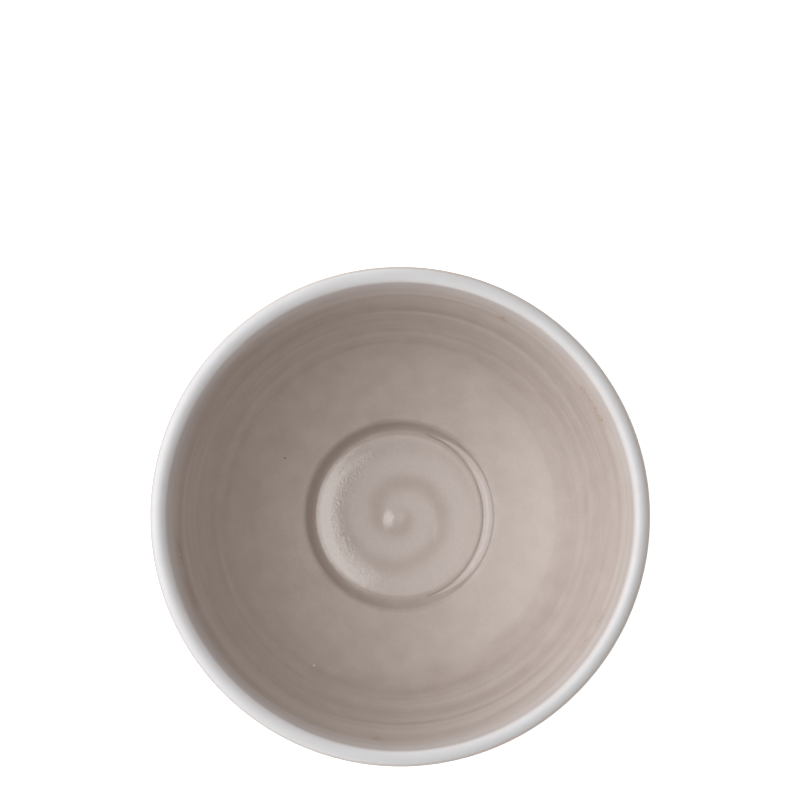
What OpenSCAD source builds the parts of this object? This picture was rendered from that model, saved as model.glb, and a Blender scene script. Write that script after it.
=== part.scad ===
// Handleless latte bowl: thrown stoneware with a white lip, a round well in its floor
// and the potter's spiral left in the well. Sizes are in millimetres.
// The origin is the middle of the foot ring's resting face, and +Z is up.

/* [Overall] */
// Diameter over the glazed lip
rim_d = 140; // [134:1:150]
// Height from the resting face to the top of the glazed lip
bowl_h = 74; // [70:1:82]
// Thickness of the lip with its glaze
lip_t = 4.6; // [4.2:0.1:5.2]

/* [Wall] */
// Radius at which the floor starts to bend up into the wall
knee_r = 41.5; // [40:0.5:43]
// Radius of that bend
knee_bend = 17; // [14:0.5:19]
// Slope of the floor beside the well, in degrees
floor_rise = 13; // [11:1:15]
// Slope of the floor where the bend starts, in degrees
knee_rise = 21; // [19:1:24]
// Slope of the wall where the bend ends, in degrees
wall_rise = 58; // [55:1:61]
// Slope of the wall just under the lip, in degrees
lip_rise = 84; // [80:1:87]
// Thickness of the clay under the floor
floor_t = 5; // [4.4:0.1:5.6]
// Thickness of the clay at the bottom of the wall
wall_t = 4.2; // [3.8:0.1:4.8]

/* [Well] */
// Diameter of the well across its upper edge
well_d = 54; // [52:0.5:56]
// Depth of the well below its upper edge
well_depth = 3; // [2.6:0.1:3.6]
// Slope of the well's side, in degrees
well_rise = 48; // [44:1:56]
// Radius of the hollow corner at the foot of the side
well_hollow = 2; // [1.4:0.1:2.4]
// Radius of the soft edge at the top of the side
well_edge = 0.8; // [0.5:0.1:1.2]

/* [Throwing marks] */
// Width of the spiral, from one groove to the next
spiral_spacing = 10.8; // [9.5:0.1:12]
// Depth of the spiral's groove below its ridge
spiral_depth = 0.36; // [0.2:0.02:0.4]
// Direction in which the groove is a whole number of spacings out, in degrees
spiral_turn = 36; // [-180:1:180]
// Height of the tallest throwing ring inside
ring_depth = 0.4; // [0.2:0.05:0.5]
// Depth of the throwing rings outside
outer_ring_depth = 0.24; // [0.1:0.02:0.3]
// Distance from one throwing ring to the next outside, along the wall
ring_spacing = 17; // [12:0.5:22]

/* [Foot] */
// Diameter over the foot ring
foot_d = 61; // [59:0.5:63]
// Width of the foot ring at the bottom
foot_w = 5; // [4.4:0.1:5.6]
// Height of the foot, up to the bowl's underside
foot_h = 8.4; // [7.8:0.1:8.8]
// Taper of the foot's outside, in degrees
foot_lean = 7; // [4:1:10]
// Radius of the hollow corner between foot and bowl
foot_fillet = 1.6; // [1.2:0.1:2]
// Radius of the edges of the resting face
foot_round = 0.7; // [0.5:0.05:0.9]
// Slope of the bowl's underside beside the foot, in degrees
underside_rise = 20; // [18:1:23]

/* [Recess] */
// Depth of the recess inside the foot ring
recess_h = 6; // [5.6:0.1:6.4]
// Thickness of the clay between recess and well
base_t = 4.8; // [4.4:0.1:5.4]
// Taper of the recess's side, in degrees
recess_lean = 10; // [6:1:14]
// Radius of the hollow corner in the recess
recess_fillet = 1.5; // [1.1:0.1:1.9]
// Slope at which the recess domes up from its corner, in degrees
recess_rise = 2; // [1:0.5:3]

/* [Glaze] */
// Thickness of each coat of glaze
glaze_t = 0.5; // [0.44:0.02:0.56]
// Slope of the lip at which the white gives way to the lining, in degrees
band_in = 48; // [35:1:60]
// Slope of the lip at which the white gives way to the outside, in degrees
band_out = 50; // [35:1:60]
// Height of the bare clay on the outside of the foot
foot_bare = 2.2; // [1.8:0.1:3]
// Height of the bare clay on the inside of the foot
recess_bare = 1.9; // [1.6:0.1:2.4]

/* [Hidden] */
$fn = 180;
clay_colour = "#e6dfd3";
taupe_colour = "#a9978c";
white_colour = "#e4e1df";
// How far a solid runs into the one it joins, and a cut past what it cuts
overrun = 1;
// Length of a curve's two handles, as a share of the line between its ends
handle_share = 0.35;
// Steps along each kind of curve
edge_steps = 6;
bend_steps = 8;
knee_steps = 14;
wall_steps = 40;
// Throwing rings inside, each by its radius and half its width as shares of the rim's radius,
// and its height as a share of the tallest. A hollow's height is below zero.
inner_rings = [
    [0.66, 0.02, 0.35],
    [0.7, 0.024, -0.35],
    [0.732, 0.022, 0.7],
    [0.757, 0.014, -0.3],
    [0.796, 0.036, -0.4],
    [0.836, 0.016, -0.25],
    [0.864, 0.03, 1],
    [0.902, 0.018, -0.4]
];
// Spokes and rings of the sheet that carries the spiral
spokes = 40;
disc_rings = 14;
// How much of the spiral's depth stands above the well's floor
ridge_share = 0.4;
// Radius over which the spiral rises from the middle, and the widths at the rim of the well's
// floor over which it fades and then lies calm
core_r = 4;
fade_w = 3.5;
calm_w = 0.6;
// Thickness of the plug of clay that carries the spiral, and the depth of the seat it fills
plug_t = 1.6;
seat_depth = 0.8;

// A half section is a chain of stations [radius, height, heading]. The chain runs from the
// well up the inside, over the lip, down the outside and under the foot to the middle.
// The heading is in degrees from straight outwards, and the bare air is on its left.

// The place on a round of this centre and radius that has this heading.
// A positive radius is an edge that turns right, and a negative one a hollow corner.
function on_bend(centre, radius, heading) =
    [centre.x - radius * sin(heading), centre.y + radius * cos(heading), heading];
function bend(centre, radius, from, to, steps) =
    [for (i = [0:steps]) on_bend(centre, radius, from + (to - from) * i / steps)];
// The same round, started at a station
function bend_centre(at, radius) = [at.x + radius * sin(at.z), at.y - radius * cos(at.z)];
function turn(at, radius, to, steps) = bend(bend_centre(at, radius), radius, at.z, to, steps);

// A cubic curve from one station to the next that keeps both headings
function way(heading) = [cos(heading), sin(heading)];
function flat(at) = [at.x, at.y];
function cubic(a, b, c, d, t) =
    a * pow(1 - t, 3) + b * 3 * t * pow(1 - t, 2) + c * 3 * t * t * (1 - t) + d * pow(t, 3);
function cubic_way(a, b, c, d, t) =
    (b - a) * pow(1 - t, 2) + (c - b) * 2 * t * (1 - t) + (d - c) * t * t;
function station(place, slope) = [place.x, place.y, atan2(slope.y, slope.x)];
function stretch(from, to, steps) =
    let (
        a = flat(from),
        d = flat(to),
        reach = norm(d - a) * handle_share,
        b = a + reach * way(from.z),
        c = d - reach * way(to.z)
    )
    [for (i = [0:steps])
        let (t = i / steps) station(cubic(a, b, c, d, t), cubic_way(a, b, c, d, t))];

// Chains, and the outline that lies a little way off one, on the air's side
function last(chain) = chain[len(chain) - 1];
function joined(a, b) = concat(a, [for (i = [1:len(b) - 1]) b[i]]);
function backwards(points) = [for (i = [len(points) - 1:-1:0]) points[i]];
function off(at, distance) =
    [at.x - distance * sin(at.z), at.y + distance * cos(at.z), at.z];
function outline(chain, distance) = [for (at = chain) flat(off(at, distance))];
function chain_length(chain, i = 1) =
    i >= len(chain) ? 0 : norm(flat(chain[i]) - flat(chain[i - 1])) + chain_length(chain, i + 1);

// Throwing rings outside: an even wave along the chain that dies away at both ends
function waved(chain) =
    let (turns = chain_length(chain) / ring_spacing, steps = len(chain) - 1)
    [for (i = [0:steps])
        off(chain[i], outer_ring_depth / 2 * sin(180 * i / steps) * sin(360 * turns * i / steps))];

// Throwing rings inside: rounded ridges and hollows, each at its own radius
function eased(share) = let (t = max(0, min(1, share))) t * t * (3 - 2 * t);
function ring_hump(r, ring) = ring.z * eased(1 - abs(2 * r / rim_d - ring.x) / ring.y);
function ring_lift(r, i = 0) =
    i >= len(inner_rings) ? 0 : ring_hump(r, inner_rings[i]) + ring_lift(r, i + 1);
function ringed(chain) = [for (at = chain) off(at, ring_depth * ring_lift(at.x))];

// Levels and the lip's middle
well_z = recess_h + base_t;
lip_clay_r = lip_t / 2 - glaze_t;
lip_centre = [rim_d / 2 - lip_t / 2, bowl_h - lip_t / 2];

// The well's side, from the soft edge down to the hollow corner
well_top = [well_d / 2, well_z + well_depth, floor_rise];
well_top_edge = bend(bend_centre(well_top, well_edge), well_edge, well_rise, floor_rise, edge_steps);
well_drop = well_top_edge[0].y - well_z;
hollow_rise = well_hollow * (1 - cos(well_rise));
hollow_reach = well_hollow * sin(well_rise);
disc_r = well_top_edge[0].x - (well_drop - hollow_rise) / tan(well_rise) - hollow_reach;
well_corner = turn([disc_r, well_z, 0], -well_hollow, well_rise, edge_steps);
well_side = joined(concat(well_corner, [well_top_edge[0]]), well_top_edge);

disc_reach = disc_r / cos(180 / spokes) + overrun;
disc_radii = [for (i = [1:disc_rings]) disc_reach * i / disc_rings];

// The lining, from the well's edge up to the lip
floor_bend = (knee_r - well_top.x) / (sin(knee_rise) - sin(floor_rise));
floor_chain = turn(well_top, -floor_bend, knee_rise, bend_steps);
knee_chain = turn(last(floor_chain), -knee_bend, wall_rise, knee_steps);
lip_foot = on_bend(lip_centre, lip_clay_r, lip_rise);
wall_chain = stretch(last(knee_chain), lip_foot, wall_steps);
lining = joined(floor_chain, ringed(joined(knee_chain, wall_chain)));

// The lip, in three stretches that change glaze where they meet
lip_heel = on_bend(lip_centre, lip_clay_r, lip_rise - 180);
lip_inside = bend(lip_centre, lip_clay_r, lip_rise, band_in, edge_steps);
lip_top = bend(lip_centre, lip_clay_r, band_in, -band_out, bend_steps);
lip_outside = bend(lip_centre, lip_clay_r, -band_out, lip_rise - 180, edge_steps);

// The foot's outside, worked out from the resting face up
foot_down = foot_lean - 90;
underside_down = underside_rise - 180;
foot_edge = bend([foot_d / 2 - foot_round, foot_round], foot_round, foot_down, -180, edge_steps);
fillet_z = foot_h + foot_fillet * cos(underside_down);
fillet_low_z = fillet_z - foot_fillet * cos(foot_down);
function foot_side(z) =
    [foot_edge[0].x - (z - foot_edge[0].y) * tan(foot_lean), z, foot_down];
fillet_centre = [foot_side(fillet_low_z).x - foot_fillet * sin(foot_down), fillet_z];
foot_corner = bend(fillet_centre, -foot_fillet, underside_down, foot_down, edge_steps);

// The bowl's outside follows the lining at the clay's thickness
function outside(at, thickness) =
    let (place = off(at, -thickness)) [place.x, place.y, at.z - 180];
wall_outside = outside(last(knee_chain), wall_t);
knee_outside = outside(last(floor_chain), floor_t);
outer_wall = waved(stretch(lip_heel, wall_outside, wall_steps));
outer_knee = stretch(wall_outside, knee_outside, bend_steps);
outer_floor = stretch(knee_outside, foot_corner[0], bend_steps);
outer_shell = joined(joined(outer_wall, outer_knee), outer_floor);

// The recess inside the foot ring
recess_up = recess_lean - 270;
recess_in = -180 - recess_rise;
recess_edge_c = [foot_d / 2 - foot_w + foot_round, foot_round];
recess_edge = bend(recess_edge_c, foot_round, -180, recess_up, edge_steps);
recess_fillet_z = recess_h + recess_fillet * cos(recess_in);
recess_side_z = recess_fillet_z - recess_fillet * cos(recess_up);
function recess_side(z) =
    [last(recess_edge).x - (z - last(recess_edge).y) * tan(recess_lean), z, recess_up];
recess_centre = [recess_side(recess_side_z).x - recess_fillet * sin(recess_up), recess_fillet_z];
recess_corner = bend(recess_centre, -recess_fillet, recess_up, recess_in, edge_steps);
recess_top_r = last(recess_corner).x;
recess_dome = turn(last(recess_corner), -recess_top_r / sin(recess_rise), -180, bend_steps);

// What each coat of glaze covers
inner_chain = joined(joined(well_side, lining), lip_inside);
outer_chain = concat(
    joined(lip_outside, joined(outer_shell, foot_corner)),
    [foot_side(foot_bare)]
);
base_chain = concat(
    [recess_side(recess_bare)],
    joined(recess_corner, recess_dome)
);
clay_chain = concat(
    joined(inner_chain, joined(lip_top, outer_chain)),
    foot_edge,
    recess_edge,
    base_chain
);

// The spiral is a wave that winds out clockwise, seen from above. It fades in from a calm
// middle and dies away before it meets the well's side.
function rounds(r) = r / spiral_spacing;
function spiral_fade(r) = eased(r / core_r) * eased((disc_r - calm_w - r) / fade_w);
function wave_z(r, angle) =
    (ridge_share - (1 + cos(360 * rounds(r) + angle - spiral_turn)) / 2) * spiral_depth;
function relief_z(r, angle) = well_z + spiral_fade(r) * wave_z(r, angle);

// A round sheet of triangles that follows the relief, and the band that joins two sheets
function sheet_points(radii, lift) =
    concat(
        [[0, 0, relief_z(0, 0) + lift]],
        [for (r = radii, j = [1:spokes])
            let (angle = 360 * j / spokes)
            [r * cos(angle), r * sin(angle), relief_z(r, angle) + lift]]
    );
function on_sheet(ring, j) = 1 + ring * spokes + j % spokes;
function halves(a, b, c, d) = [[a, b, c], [a, c, d]];
function sheet_faces(rings) =
    concat(
        [for (j = [1:spokes]) [0, on_sheet(0, j + 1), on_sheet(0, j)]],
        [for (i = [1:1:rings - 1], j = [1:spokes], face = halves(
            on_sheet(i - 1, j), on_sheet(i - 1, j + 1), on_sheet(i, j + 1), on_sheet(i, j)
        )) face]
    );
function band_faces(top, bottom) =
    [for (j = [1:spokes], face = halves(
        top + j % spokes, top + (j + 1) % spokes,
        bottom + (j + 1) % spokes, bottom + j % spokes
    )) face];

// The disc on the well's floor, between two lifts of the relief. Its lower sheet has its own rings.
module spiral_disc(top, bottom, lower_radii) {
    upper = sheet_points(disc_radii, top);
    lower = sheet_points(lower_radii, bottom);
    lower_faces = [for (face = sheet_faces(len(lower_radii))) backwards(face)];
    intersection() {
        polyhedron(
            points = concat(upper, lower),
            faces = concat(
                sheet_faces(len(disc_radii)),
                [for (face = lower_faces) [for (i = face) i + len(upper)]],
                band_faces(len(upper) - spokes, len(upper) + len(lower) - spokes)
            )
        );
        translate([0, 0, well_z - plug_t - overrun])
            cylinder(r = disc_r, h = plug_t + well_depth + overrun);
    }
}

// A coat of glaze over one stretch of the clay
module coat(chain) {
    rotate_extrude()
        polygon(concat(outline(chain, 0), backwards(outline(chain, glaze_t))));
}

module clay_body() {
    color(clay_colour) {
        rotate_extrude()
            polygon(concat(
                [[0, well_z - seat_depth], [disc_r, well_z - seat_depth]],
                outline(clay_chain, 0)
            ));
        spiral_disc(0, -plug_t, [disc_reach]);
    }
}

module inner_glaze() {
    color(taupe_colour) {
        coat(inner_chain);
        spiral_disc(glaze_t, 0, disc_radii);
    }
}

module rim_band() {
    color(white_colour) coat(lip_top);
}

module outer_glaze() {
    color(taupe_colour) coat(outer_chain);
}

module base_glaze() {
    color(taupe_colour) coat(base_chain);
}

clay_body();
inner_glaze();
rim_band();
outer_glaze();
base_glaze();
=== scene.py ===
# %% [markdown]
# # A thrown latte bowl
#
# A latte bowl is thrown on a potter's wheel, turned upside down to trim its foot, fired once,
# dipped in glaze and fired again. Seen from straight above it shows a white lip, a taupe
# lining with the rings the potter's fingers left, and a round well with a spiral in it.
#
# The solid model is already exact. Here every visible coat gets a finer surface of its own,
# worked out with numpy from the same half section, and a finish that belongs to fired glaze.

# %% Load the solid model
import math

import bpy
import numpy as np
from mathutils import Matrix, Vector


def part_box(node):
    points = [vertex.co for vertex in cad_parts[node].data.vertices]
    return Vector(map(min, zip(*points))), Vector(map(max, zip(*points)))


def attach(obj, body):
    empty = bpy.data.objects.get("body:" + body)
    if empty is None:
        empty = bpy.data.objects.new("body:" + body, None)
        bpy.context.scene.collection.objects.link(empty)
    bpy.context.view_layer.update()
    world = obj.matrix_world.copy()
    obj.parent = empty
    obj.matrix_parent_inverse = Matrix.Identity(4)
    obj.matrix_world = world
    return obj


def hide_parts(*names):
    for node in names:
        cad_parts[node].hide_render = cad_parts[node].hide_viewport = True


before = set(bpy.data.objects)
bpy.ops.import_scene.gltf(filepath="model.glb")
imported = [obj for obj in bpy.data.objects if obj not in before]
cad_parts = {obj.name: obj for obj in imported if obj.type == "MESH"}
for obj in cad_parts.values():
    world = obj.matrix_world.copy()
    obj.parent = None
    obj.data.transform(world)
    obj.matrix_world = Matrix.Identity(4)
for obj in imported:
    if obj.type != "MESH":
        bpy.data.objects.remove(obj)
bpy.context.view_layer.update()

# %% [markdown]
# ## The camera
#
# The photograph looks straight down. A long lens from far away draws nearly parallel lines, so
# the wall hides none of the lining and the lip stays a true circle. The lens could be
# short and the camera close, but then the wall would lean outwards in the picture.

# %% Camera
MM = 0.001
rim_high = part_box("rim_band")[1]
outer_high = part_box("outer_glaze")[1]
RIM_R = outer_high.x / MM
BOWL_H = rim_high.z / MM
SENSOR_W = 36.0
CAMERA_RISE = 6.0
FRAME_W = 0.22386
FRAME_MIDDLE = (-0.00003, 0.03268)

camera_data = bpy.data.cameras.new("camera")
camera_data.sensor_width = SENSOR_W
camera_data.lens = SENSOR_W * CAMERA_RISE / FRAME_W
camera = bpy.data.objects.new("camera", camera_data)
camera.location = (*FRAME_MIDDLE, rim_high.z + CAMERA_RISE)
bpy.context.scene.collection.objects.link(camera)
bpy.context.scene.camera = camera
print("lens", round(camera_data.lens), "mm, rim radius", round(RIM_R, 2), "mm")

# %% [markdown]
# ## The half section
#
# A pot is a half section turned about its axis, so the shape starts as a chain of stations in
# millimetres: radius, height and heading. The heading is the direction of travel in degrees
# from straight outwards, and the open air is always on the left. A drawn curve could be spun
# with a modifier, but stations keep the heading, and the heading gives the thickness of the
# glaze and the direction in which every ring stands out.

# %% Arcs and curves
def round_part(centre, radius, start, end, count):
    """Stations on a circle: the centre plus the radius times the left of each heading.

    A positive radius is a rounded edge, a negative one a hollow corner."""
    heading = np.linspace(start, end, count)
    turn = np.radians(heading)
    return np.stack([centre[0] - radius * np.sin(turn),
                     centre[1] + radius * np.cos(turn), heading], 1)


def centre_of(station, radius):
    """The centre of the circle that leaves a station: its place less the radius times the left
    of its heading."""
    turn = math.radians(station[2])
    return station[0] + radius * math.sin(turn), station[1] - radius * math.cos(turn)


def onward(station, radius, end, count):
    """The circle that carries on from a station until it has turned to a new heading."""
    return round_part(centre_of(station, radius), radius, station[2], end, count)


HANDLE_SHARE = 0.35


def sweep(start, end, count):
    """A cubic curve from one station to another that keeps both headings.

    Its two handles are a share of the distance between the ends. The place is the sum of the
    four control points, each times its cubic weight, and the heading is that of the slope."""
    a, d = np.array(start[:2], float), np.array(end[:2], float)
    reach = np.linalg.norm(d - a) * HANDLE_SHARE
    first, final = math.radians(start[2]), math.radians(end[2])
    b = a + reach * np.array([math.cos(first), math.sin(first)])
    c = d - reach * np.array([math.cos(final), math.sin(final)])
    t = np.linspace(0, 1, count)[:, None]
    place = a * (1 - t) ** 3 + b * 3 * t * (1 - t) ** 2 + c * 3 * t * t * (1 - t) + d * t ** 3
    slope = (b - a) * (1 - t) ** 2 + (c - b) * 2 * t * (1 - t) + (d - c) * t * t
    return np.column_stack([place, np.degrees(np.arctan2(slope[:, 1], slope[:, 0]))])


def lifted(stations, lift):
    """Stations moved towards the air: each place plus the lift times the left of its heading."""
    turn = np.radians(stations[:, 2])
    return np.column_stack([stations[:, 0] - lift * np.sin(turn),
                            stations[:, 1] + lift * np.cos(turn), stations[:, 2]])


def chained(*parts):
    """One chain from several parts, each of which starts where the one before it ends."""
    return np.concatenate([parts[0]] + [part[1:] for part in parts[1:]])


# %% [markdown]
# ## The inside, from the middle of the well to the lip
#
# The well is flat, with a hollow corner and a soft upper edge. Beyond it the floor rises
# gently, bends at the knee and climbs into the wall, which leans outwards less and less until
# it meets the round lip. Radii come from the photograph, and heights and slopes from how
# bright each zone is and from bowls of this kind.

# %% Stations of the inside
GLAZE_T = 0.5
WELL_Z, WELL_R, WELL_TOP_R, WELL_TOP_Z = 10.8, 23.214, 27.0, 13.8
WELL_HOLLOW, WELL_EDGE, WELL_RISE = 2.0, 0.8, 48
FLOOR_RISE, KNEE_RISE, WALL_RISE, LIP_RISE = 13, 21, 58, 84
KNEE_R, KNEE_BEND = 41.5, 17.0
LIP_R, LIP_Z, LIP_CLAY = 67.7, 71.7, 1.8
BAND_IN, BAND_OUT = 48, -50
# The radius of the hollow bend that takes the floor's rise to the knee's
FLOOR_BEND = (KNEE_R - WELL_TOP_R) / (math.sin(math.radians(KNEE_RISE))
                                      - math.sin(math.radians(FLOOR_RISE)))


def inside_clay(floor_rows, side_rows, slope_rows, wall_rows):
    """The clay's inner surface from the middle to the line where the white lip begins."""
    middle = np.array([[0, WELL_Z, 0], [WELL_R, WELL_Z, 0]], float)
    flat = sweep(middle[0], middle[1], floor_rows)
    corner = onward(flat[-1], -WELL_HOLLOW, WELL_RISE, side_rows)
    edge = round_part(centre_of((WELL_TOP_R, WELL_TOP_Z, FLOOR_RISE), WELL_EDGE), WELL_EDGE,
                      WELL_RISE, FLOOR_RISE, side_rows)
    side = sweep(corner[-1], edge[0], side_rows)
    slope = onward(edge[-1], -FLOOR_BEND, KNEE_RISE, slope_rows)
    knee = onward(slope[-1], -KNEE_BEND, WALL_RISE, slope_rows)
    lip = round_part((LIP_R, LIP_Z), LIP_CLAY, LIP_RISE, BAND_IN, side_rows)
    wall = sweep(knee[-1], lip[0], wall_rows)
    return chained(flat, corner, side, edge, slope, knee, wall, lip)


inside = inside_clay(floor_rows=70, side_rows=12, slope_rows=34, wall_rows=84)
print("inside:", len(inside), "stations, ends at radius", round(inside[-1, 0], 2))

# %% [markdown]
# ## Turning a section into a closed coat
#
# A coat of glaze has an air side and a side that lies on the clay. Both are rows of the same
# grid, so one grid of rows and spokes makes the whole closed shell. Screw or Spin would
# turn a curve too, but a grid lets every point move on its own, which a hand-thrown ring needs.

# %% Grids and meshes
SPOKES = 320
SHARP_ANGLE = math.radians(38)
spoke = np.linspace(0, 2 * np.pi, SPOKES, endpoint=False)


def turned(stations, relief=0.0, along=0.0):
    """Points of a turned surface: each station, moved by its relief to the left of its heading
    and by a slide along it, then carried round the axis at every spoke."""
    turn = np.radians(stations[:, 2])[:, None]
    r = stations[:, :1] - relief * np.sin(turn) + along * np.cos(turn)
    z = stations[:, 1:2] + relief * np.cos(turn) + along * np.sin(turn)
    r, z = r + 0 * spoke, z + 0 * spoke
    return np.stack([r * np.cos(spoke), r * np.sin(spoke), z], 2)


def ring_faces(rows, wrap):
    """Quads between neighbouring rows and spokes, facing the left of the rows' direction."""
    first = np.arange(rows if wrap else rows - 1)[:, None] * SPOKES
    after = (first + SPOKES) % (rows * SPOKES)
    near, far = np.arange(SPOKES), (np.arange(SPOKES) + 1) % SPOKES
    quads = np.stack([first + near, after + near, after + far, first + far], 2)
    return quads.reshape(-1, 4)


def shell(name, points, ends_on_axis, body="root"):
    """A closed mesh from a grid of points in millimetres. A shell that ends on the axis gets
    one point and a fan of triangles at either end, and any other closes on its first row."""
    mesh = bpy.data.meshes.new(name)
    if ends_on_axis:
        rows = points[1:-1]
        poles = np.array([points[0].mean(0), points[-1].mean(0)])
        vertices = np.concatenate([rows.reshape(-1, 3), poles]) * MM
        near, far = np.arange(SPOKES), (np.arange(SPOKES) + 1) % SPOKES
        count, tail = len(rows) * SPOKES, (len(rows) - 1) * SPOKES
        start = np.stack([np.full(SPOKES, count), near, far], 1)
        end = np.stack([tail + near, np.full(SPOKES, count + 1), tail + far], 1)
        faces = ring_faces(len(rows), False).tolist() + start.tolist() + end.tolist()
    else:
        vertices = points.reshape(-1, 3) * MM
        faces = ring_faces(len(points), True).tolist()
    mesh.from_pydata(vertices, [], faces)
    mesh.polygons.foreach_set("use_smooth", np.ones(len(mesh.polygons), bool))
    mesh.set_sharp_from_angle(angle=SHARP_ANGLE)
    mesh.update()
    piece = bpy.data.objects.new(name, mesh)
    bpy.context.scene.collection.objects.link(piece)
    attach(piece, body)
    print(name, len(mesh.vertices), "points,", len(mesh.polygons), "faces")
    return piece


def keep_tone_and_painted_light(piece, relief, on_axis=0.0):
    """Stores a number at each point for the glaze's colour to follow: above nought where the
    coat is thin and pale, below nought where it gathered. On the lining it also carries
    painted light and painted shade in the well.

    It fills the air side's rows. The coat's other side keeps nought, and a coat that starts on
    the axis has that point next to last."""
    values = np.zeros(len(piece.data.vertices))
    values[:relief.size] = relief.reshape(-1)
    values[-2] = values[-2] + on_axis
    piece.data.attributes.new("relief", "FLOAT", "POINT").data.foreach_set("value", values)


# %% [markdown]
# ## Throwing rings and the spiral
#
# As the wheel turns, fingertips leave shallow ridges and hollows. On the lining they sit at
# fixed radii that the photograph shows, up to a fifth of a millimetre high, and no ring is
# quite round. In the well the potter lets go while moving outwards, which leaves a spiral: one
# groove that winds out clockwise, a little over a centimetre from turn to turn.

# %% Rings and spiral
def eased(share):
    """Nought to one with a soft start and end: three squares less two cubes of the share."""
    share = np.clip(share, 0, 1)
    return share * share * (3 - 2 * share)


# Radius, half width and height of each ring, and how far it strays from a true circle
RINGS = [
    (31.9, 1.2, 0.03, 0.5),
    (35.6, 1.6, -0.03, 0.6),
    (39.2, 1.7, 0.03, 0.5),
    (46.2, 2.2, 0.07, 0.25),
    (49.0, 1.7, -0.05, 0.2),
    (51.0, 1.8, 0.08, 0.3),
    (52.8, 0.9, -0.1, 0.3),
    (55.7, 2.5, -0.06, 0.3),
    (58.3, 1.0, -0.05, 0.2),
    (59.9, 1.7, 0.18, 0.3),
    (61.8, 1.0, -0.06, 0.2),
    (63.1, 1.5, -0.04, 0.15),
]


RING_SWELL = 0.25


def ring_relief(r, angle):
    """The sum over the rings of a soft hump about each ring's radius. The radius strays by a
    wave round the bowl and a smaller one three times as quick, so that rings draw together
    and apart, and the height swells twice on the way round."""
    total = 0 * r
    for i, (radius, half, height, stray) in enumerate(RINGS):
        middle = radius + stray * (0.6 * np.sin(angle + 1.7 * i) + 0.4 * np.sin(3 * angle + i))
        swell = 1 + RING_SWELL * np.sin(2 * angle + 2.3 * i)
        total = total + height * swell * eased(1 - np.abs(r - middle) / half)
    return total


SPIRAL_W, SPIRAL_DEPTH, SPIRAL_TURN = 10.8, 0.08, math.radians(36)
SPIRAL_POWER, SPIRAL_START, SPIRAL_END, SPIRAL_FADE = 1.6, 3.0, WELL_R + 0.4, 3.5
RIDGE_SHARE = 0.4


def spiral_share(r, angle):
    """How far down in the spiral's groove a point is, from nought to one: a power of half of
    one plus a cosine of the radius over the spiral's width plus the angle, so that each turn
    lies one width farther out. It fades in from the middle and out before the corner."""
    wave = (1 + np.cos(2 * np.pi * r / SPIRAL_W + angle - SPIRAL_TURN)) / 2
    fade = eased(r / SPIRAL_START) * eased((SPIRAL_END - r) / SPIRAL_FADE)
    return wave ** SPIRAL_POWER * fade


PRESS_AT, PRESS_DEPTH, PRESS_REACH = (-1.3, -0.5), 0.32, 4.6
CORNER_RISE, CORNER_START, CORNER_WIDTH, CORNER_POWER = 0.5, 16.6, 6.8, 1.6
RIGHT_LOSS = 0.75
LEFT_RISE, LEFT_START, LEFT_WIDTH = 0.1, 10, 8
RISE_END, RISE_FADE = 27.4, 4.2


def well_shape(r, angle):
    """The well's floor is a little dished: a soft hollow near the middle, where the finger
    first pressed, and a rise towards the corner, where glaze gathered. The rise is a power of
    the way from its start, weaker on the right, plus a gentle one on the left."""
    x, y = r * np.cos(angle), r * np.sin(angle)
    away = np.hypot(x - PRESS_AT[0], y - PRESS_AT[1])
    hollow = -PRESS_DEPTH * eased(1 - away / PRESS_REACH)
    right, left = eased(np.cos(angle)), eased(-np.cos(angle))
    way = np.clip((r - CORNER_START) / CORNER_WIDTH, 0, 1)
    rise = CORNER_RISE * (1 - RIGHT_LOSS * right) * way ** CORNER_POWER
    gentle = LEFT_RISE * left * eased((r - LEFT_START) / LEFT_WIDTH)
    return hollow + (rise + gentle) * eased((RISE_END - r) / RISE_FADE)


FLARE, FLARE_START, FLARE_GROWTH, FLARE_END, FLARE_DROP = 1.0, 23.2, 2.6, 27.0, 1.4
FLARE_FROM = 0.3


def well_flare(r, angle):
    """On the right the well's side was pressed wider: a hollow that grows outwards to FLARE
    and ends quickly, so that most of the side leans back and its top stands steep."""
    right = eased((np.cos(angle) - FLARE_FROM) / (1 - FLARE_FROM))
    return -FLARE * right * np.minimum(eased((r - FLARE_START) / FLARE_GROWTH),
                                       eased((FLARE_END - r) / FLARE_DROP))


# %% [markdown]
# ## The lining
#
# The lining is one coat from the middle of the well up to the white of the lip. Its air side
# carries the rings and the spiral, and its other side lies on the clay.

# %% Lining
def back_to_start(stations):
    """The same stations in the other order, for the side of a coat that lies on the clay."""
    return stations[::-1]


inside_r = inside[:, :1] + 0 * spoke
inside_angle = 0 * inside[:, :1] + spoke
finger_rings = ring_relief(inside_r, inside_angle)
groove = spiral_share(inside_r, inside_angle)
lining_relief = (finger_rings + SPIRAL_DEPTH * (RIDGE_SHARE - groove) * (inside_r < WELL_R)
                 + well_shape(inside_r, inside_angle) + well_flare(inside_r, inside_angle))
lining_air = turned(lifted(inside, GLAZE_T), lining_relief)
inside_rest = back_to_start(inside_clay(floor_rows=4, side_rows=7, slope_rows=4, wall_rows=10))
lining_clay = turned(inside_rest, well_flare(inside_rest[:, :1], spoke))
lining = shell("lining_glaze", np.concatenate([lining_air, lining_clay]), True)
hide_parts("inner_glaze")
print("relief from", lining_relief.min().round(3), "to", lining_relief.max().round(3), "mm")
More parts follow.
